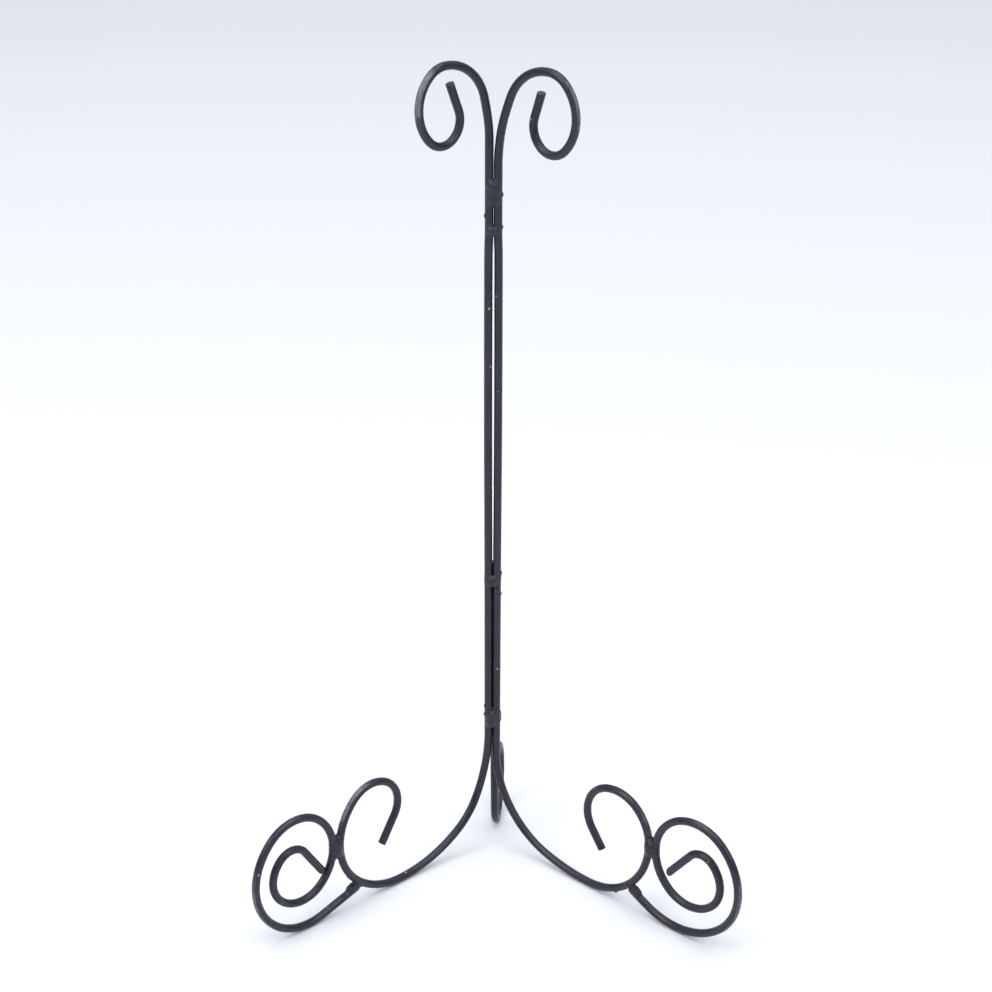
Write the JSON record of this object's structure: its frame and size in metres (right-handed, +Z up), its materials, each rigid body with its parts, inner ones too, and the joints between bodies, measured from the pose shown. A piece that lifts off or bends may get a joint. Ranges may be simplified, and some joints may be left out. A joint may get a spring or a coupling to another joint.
{
  "type": "photo album stand",
  "caption": "Free-standing welded wire stand for a photo album: a tall double-rod stem with scrolls at its head, swept front legs with curls and foot scrolls, and a hooked rear leg.",
  "frame": {"origin": "on the ground, midway between the two stem rods", "axes": "+Z up along the stem, +X to the stand's right as seen from the front, the two legs and curls that hold the album come forward towards -Y, the rear leg is on +Y"},
  "size_m": [0.2761, 0.1736, 0.4886],
  "materials": {
    "rod_paint": "satin black paint over round steel rod, rubbed thin on the outside of the bends",
    "weld_paint": "black paint over rough weld beads"
  },
  "bodies": {
    "root": {"left_main_rod": "rod_paint", "right_main_rod": "rod_paint", "left_foot_scroll": "rod_paint", "right_foot_scroll": "rod_paint", "rear_leg": "rod_paint", "head_weld": "weld_paint", "tack_weld": "weld_paint", "middle_weld": "weld_paint", "lower_weld": "weld_paint", "rear_leg_upper_weld": "weld_paint", "rear_leg_lower_weld": "weld_paint", "left_curl_weld": "weld_paint", "right_curl_weld": "weld_paint", "left_lead_weld": "weld_paint", "right_lead_weld": "weld_paint"}
  },
  "joints": []
}
